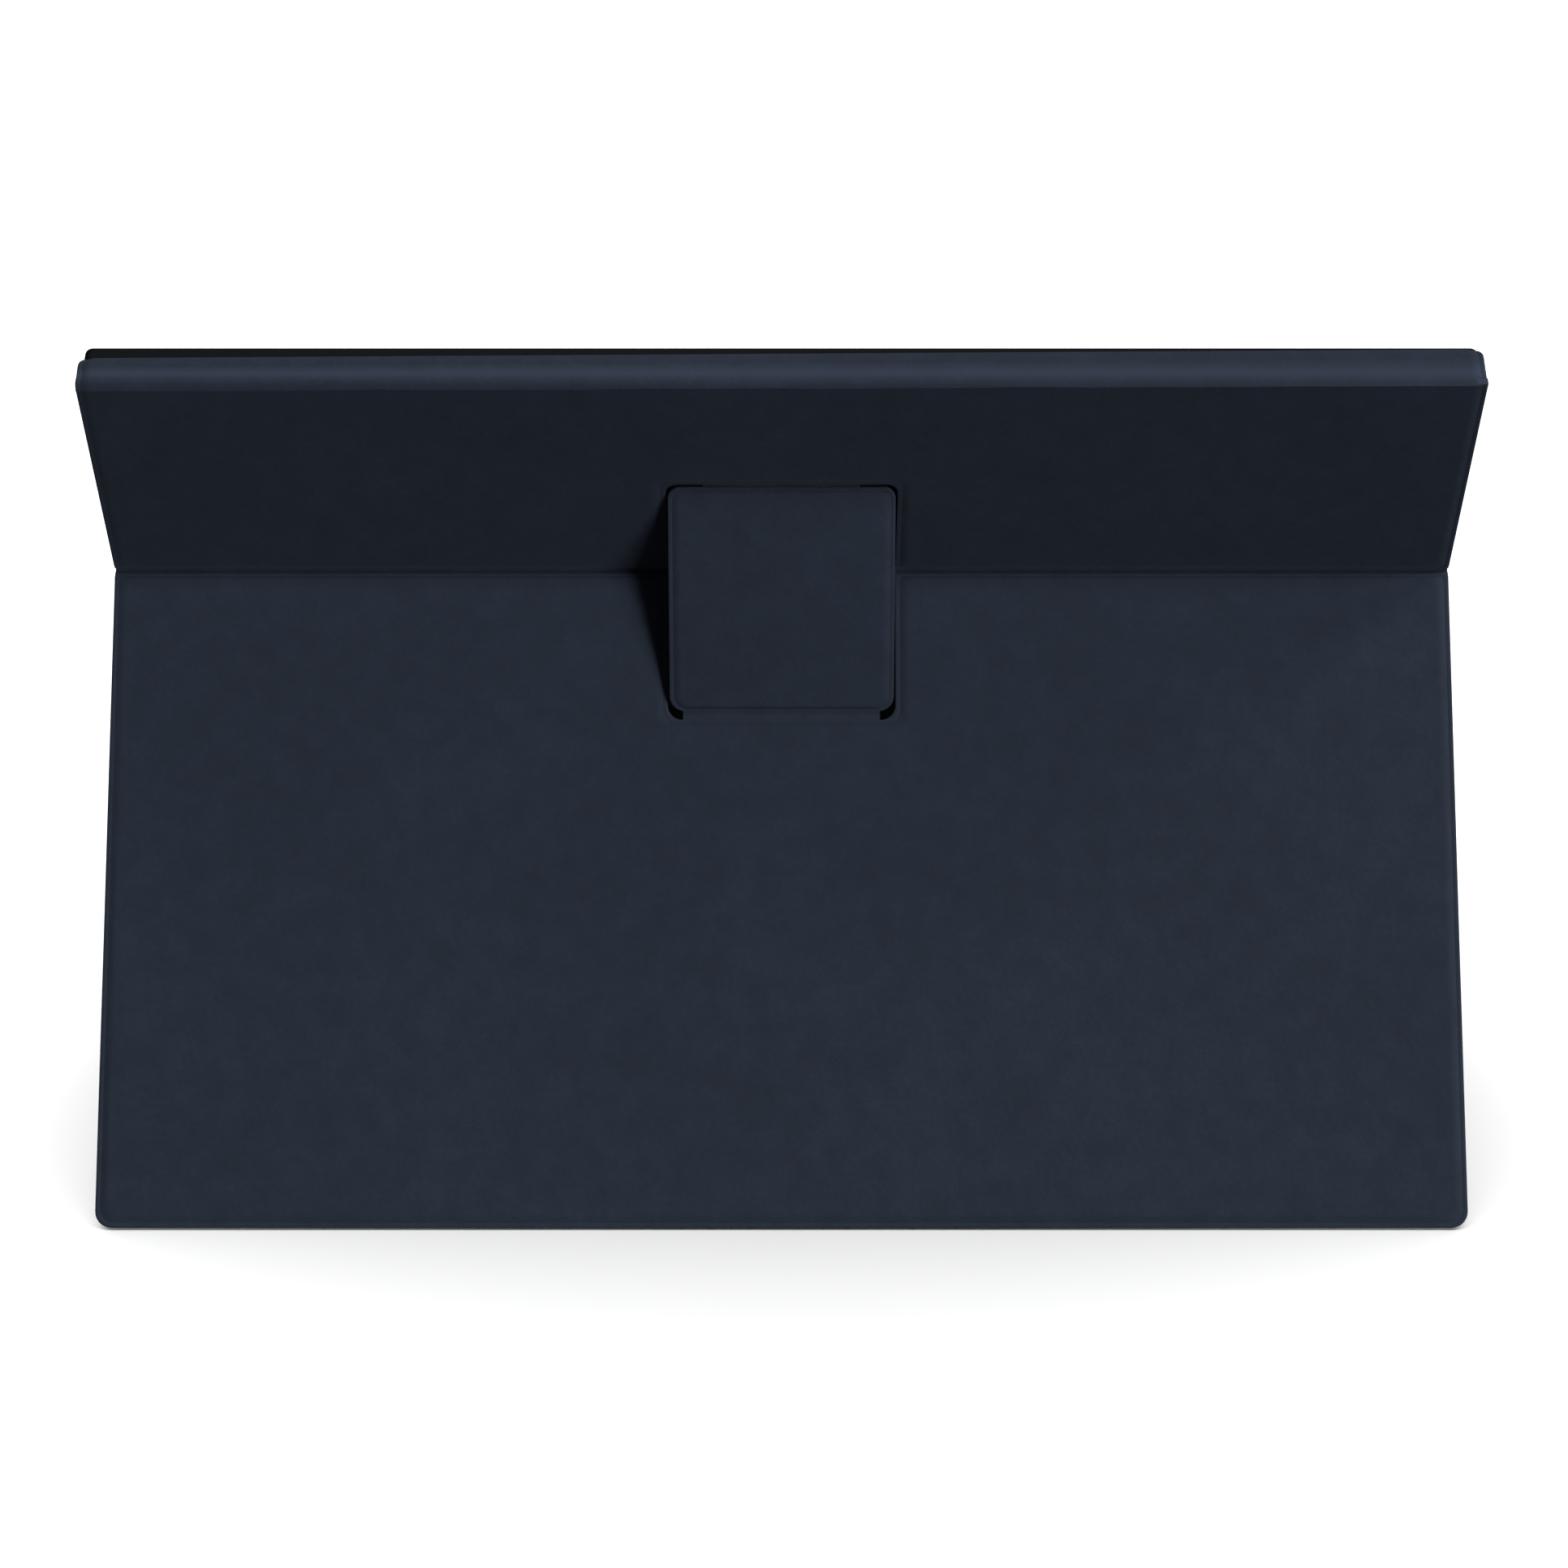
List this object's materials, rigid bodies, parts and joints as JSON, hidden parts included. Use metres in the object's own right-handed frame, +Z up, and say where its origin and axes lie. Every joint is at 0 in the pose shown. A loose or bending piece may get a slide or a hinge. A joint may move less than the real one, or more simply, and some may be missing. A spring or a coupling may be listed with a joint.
{
  "type": "tablet keyboard case",
  "caption": "Folding fabric case with a moulded tablet tray, fold-out leg braced by a strut tab, and a hinged keyboard deck with a trackpad.",
  "frame": {"origin": "middle of the open case's footprint, on the desk", "axes": "+X across the case, -Y towards the person typing, +Z up from the desk"},
  "size_m": [0.2956, 0.3768, 0.1825],
  "materials": {
    "fabric": "fine navy microfibre, pressed flat along its edges",
    "deck_fabric": "fine navy microfibre over the palm rest",
    "lining": "near-black brushed microfibre",
    "tray_plastic": "fine-textured black moulded plastic",
    "board": "glass-fibre stiffener",
    "core_plastic": "black moulded nylon",
    "magnet": "nickel-plated",
    "steel": "rolled sheet steel",
    "gold": "gold-plated",
    "flex": "polyimide film",
    "circuit_board": "solder-masked laminate",
    "chip": "moulded epoxy",
    "rubber": "soft matt rubber",
    "trackpad": "satin-coated",
    "keycap": "fine-textured, slightly polished by use"
  },
  "bodies": {
    "tray": {"tray_shell": "tray_plastic", "tray_lining": "lining", "tab_keeper_plate": "steel", "leg_keeper_plates": "steel", "upper_skin": "fabric", "upper_board": "board", "fold_hinge_fabric": "fabric", "spine_core": "core_plastic", "spine_skin": "fabric", "spine_magnets": "magnet", "contact_block": "core_plastic", "contact_pins": "gold", "deck_hinge_fabric": "fabric", "hinge_flex": "flex"},
    "leg": {"leg_skin": "fabric", "leg_board": "board", "leg_lining": "lining", "leg_magnets": "magnet", "tab_hinge_fabric": "fabric"},
    "tab": {"tab_skin": "fabric", "tab_board": "board", "tab_lining": "lining", "tab_magnet": "magnet"},
    "deck": {"deck_frame": "core_plastic", "deck_base_plate": "steel", "deck_base_skin": "fabric", "deck_top_skin": "deck_fabric", "key_web": "core_plastic", "key_plate": "steel", "key_membrane": "flex", "rubber_domes": "rubber", "scissor_links": "core_plastic", "deck_magnets": "magnet", "deck_screws": "steel", "deck_feet": "rubber", "controller_board": "circuit_board", "controller_chip": "chip", "board_socket": "core_plastic", "trackpad_bracket": "core_plastic", "trackpad_switch": "steel"},
    "trackpad": {"trackpad_plate": "trackpad", "trackpad_board": "circuit_board"},
    "function_keys": {"function_keys": "keycap"},
    "number_keys": {"number_keys": "keycap"},
    "backspace_key": {"backspace_key": "keycap"},
    "tab_key": {"tab_key": "keycap"},
    "upper_letter_keys": {"upper_letter_keys": "keycap"},
    "backslash_key": {"backslash_key": "keycap"},
    "caps_lock_key": {"caps_lock_key": "keycap"},
    "home_letter_keys": {"home_letter_keys": "keycap"},
    "enter_key": {"enter_key": "keycap"},
    "left_shift_key": {"left_shift_key": "keycap"},
    "lower_letter_keys": {"lower_letter_keys": "keycap"},
    "right_shift_key": {"right_shift_key": "keycap"},
    "modifier_keys": {"modifier_keys": "keycap"},
    "space_key": {"space_key": "keycap"},
    "left_arrow_key": {"left_arrow_key": "keycap"},
    "up_arrow_key": {"up_arrow_key": "keycap"},
    "down_arrow_key": {"down_arrow_key": "keycap"},
    "right_arrow_key": {"right_arrow_key": "keycap"}
  },
  "joints": [
    {"name": "leg_fold", "type": "hinge", "parent": "tray", "child": "leg", "pos_m": [0, 0.11768, 0.12705], "axis": [1, 0, 0], "range_deg": [-62.11, 0], "deforming": ["fold_hinge_fabric"]},
    {"name": "tab_fold", "type": "hinge", "parent": "leg", "child": "tab", "pos_m": [0, 0.13364, 0.09839], "axis": [1, 0, 0], "range_deg": [0, 27.48], "deforming": ["tab_hinge_fabric"]},
    {"name": "deck_fold", "type": "hinge", "parent": "tray", "child": "deck", "pos_m": [0, 0.02425, 0.0052], "axis": [1, 0, 0], "range_deg": [-123, 57], "deforming": ["deck_hinge_fabric", "hinge_flex"]},
    {"name": "trackpad_click", "type": "hinge", "parent": "deck", "child": "trackpad", "pos_m": [0, -0.10935, 0.0049], "axis": [1, 0, 0], "range_deg": [0, 0.40877], "stiffness_Nm_per_rad": 10},
    {"name": "function_press", "type": "slide", "parent": "deck", "child": "function_keys", "axis": [0, 0, -1], "range_m": [0, 0.0012], "stiffness_N_per_m": 6750, "deforming": ["rubber_domes", "scissor_links"]},
    {"name": "number_press", "type": "slide", "parent": "deck", "child": "number_keys", "axis": [0, 0, -1], "range_m": [0, 0.0012], "stiffness_N_per_m": 5850},
    {"name": "backspace_press", "type": "slide", "parent": "deck", "child": "backspace_key", "axis": [0, 0, -1], "range_m": [0, 0.0012], "stiffness_N_per_m": 450},
    {"name": "tab_press", "type": "slide", "parent": "deck", "child": "tab_key", "axis": [0, 0, -1], "range_m": [0, 0.0012], "stiffness_N_per_m": 450},
    {"name": "upper_letter_press", "type": "slide", "parent": "deck", "child": "upper_letter_keys", "axis": [0, 0, -1], "range_m": [0, 0.0012], "stiffness_N_per_m": 5400},
    {"name": "backslash_press", "type": "slide", "parent": "deck", "child": "backslash_key", "axis": [0, 0, -1], "range_m": [0, 0.0012], "stiffness_N_per_m": 450},
    {"name": "caps_lock_press", "type": "slide", "parent": "deck", "child": "caps_lock_key", "axis": [0, 0, -1], "range_m": [0, 0.0012], "stiffness_N_per_m": 450},
    {"name": "home_letter_press", "type": "slide", "parent": "deck", "child": "home_letter_keys", "axis": [0, 0, -1], "range_m": [0, 0.0012], "stiffness_N_per_m": 4950},
    {"name": "enter_press", "type": "slide", "parent": "deck", "child": "enter_key", "axis": [0, 0, -1], "range_m": [0, 0.0012], "stiffness_N_per_m": 450},
    {"name": "left_shift_press", "type": "slide", "parent": "deck", "child": "left_shift_key", "axis": [0, 0, -1], "range_m": [0, 0.0012], "stiffness_N_per_m": 450},
    {"name": "lower_letter_press", "type": "slide", "parent": "deck", "child": "lower_letter_keys", "axis": [0, 0, -1], "range_m": [0, 0.0012], "stiffness_N_per_m": 4500},
    {"name": "right_shift_press", "type": "slide", "parent": "deck", "child": "right_shift_key", "axis": [0, 0, -1], "range_m": [0, 0.0012], "stiffness_N_per_m": 450},
    {"name": "modifier_press", "type": "slide", "parent": "deck", "child": "modifier_keys", "axis": [0, 0, -1], "range_m": [0, 0.0012], "stiffness_N_per_m": 2700},
    {"name": "space_press", "type": "slide", "parent": "deck", "child": "space_key", "axis": [0, 0, -1], "range_m": [0, 0.0012], "stiffness_N_per_m": 450},
    {"name": "left_arrow_press", "type": "slide", "parent": "deck", "child": "left_arrow_key", "axis": [0, 0, -1], "range_m": [0, 0.0012], "stiffness_N_per_m": 450},
    {"name": "up_arrow_press", "type": "slide", "parent": "deck", "child": "up_arrow_key", "axis": [0, 0, -1], "range_m": [0, 0.0012], "stiffness_N_per_m": 450},
    {"name": "down_arrow_press", "type": "slide", "parent": "deck", "child": "down_arrow_key", "axis": [0, 0, -1], "range_m": [0, 0.0012], "stiffness_N_per_m": 450},
    {"name": "right_arrow_press", "type": "slide", "parent": "deck", "child": "right_arrow_key", "axis": [0, 0, -1], "range_m": [0, 0.0012], "stiffness_N_per_m": 450}
  ],
  "couplings": [
    {"joint": "tab_fold", "follows": "leg_fold", "ratio": -0.4422}
  ]
}
